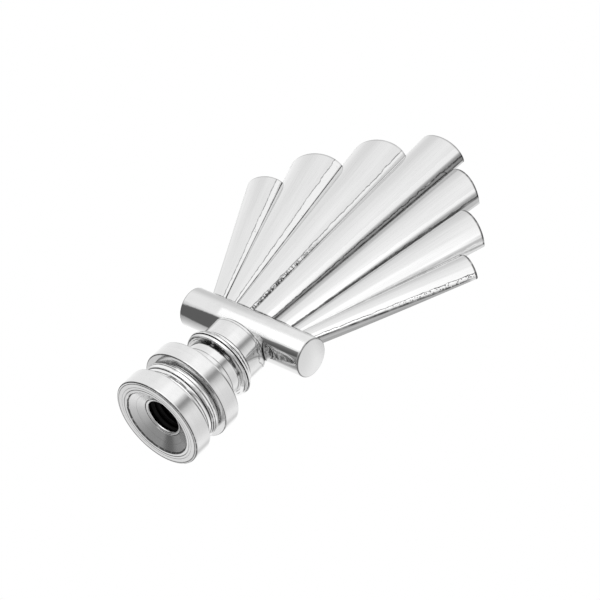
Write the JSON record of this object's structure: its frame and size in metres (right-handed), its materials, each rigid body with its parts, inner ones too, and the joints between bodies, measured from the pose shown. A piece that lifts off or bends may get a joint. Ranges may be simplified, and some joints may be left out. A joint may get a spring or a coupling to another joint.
{
  "type": "lamp shade finial",
  "caption": "Polished metal lamp shade finial: a fan of tapered flutes on a crossbar, over a turned base with a tapped hole in its dished underside.",
  "frame": {"origin": "centre of the base's flat rim, on the axis of the tapped hole", "axes": "+Z along the hole's axis, up through the fan; +X along the crossbar; the fan's fluted face looks towards -Y"},
  "size_m": [0.0444, 0.015, 0.067],
  "materials": {
    "turned_metal": "bright plating over turned metal, with fine tool rings round the beads and the rim",
    "bar_metal": "mirror-bright plating on a plain rod",
    "fan_metal": "bright plating over a polished casting, with faint lengthwise polishing lines and small pits left in the grooves"
  },
  "bodies": {
    "root": {"turned_base": "turned_metal", "crossbar": "bar_metal", "fan": "fan_metal"}
  },
  "joints": []
}
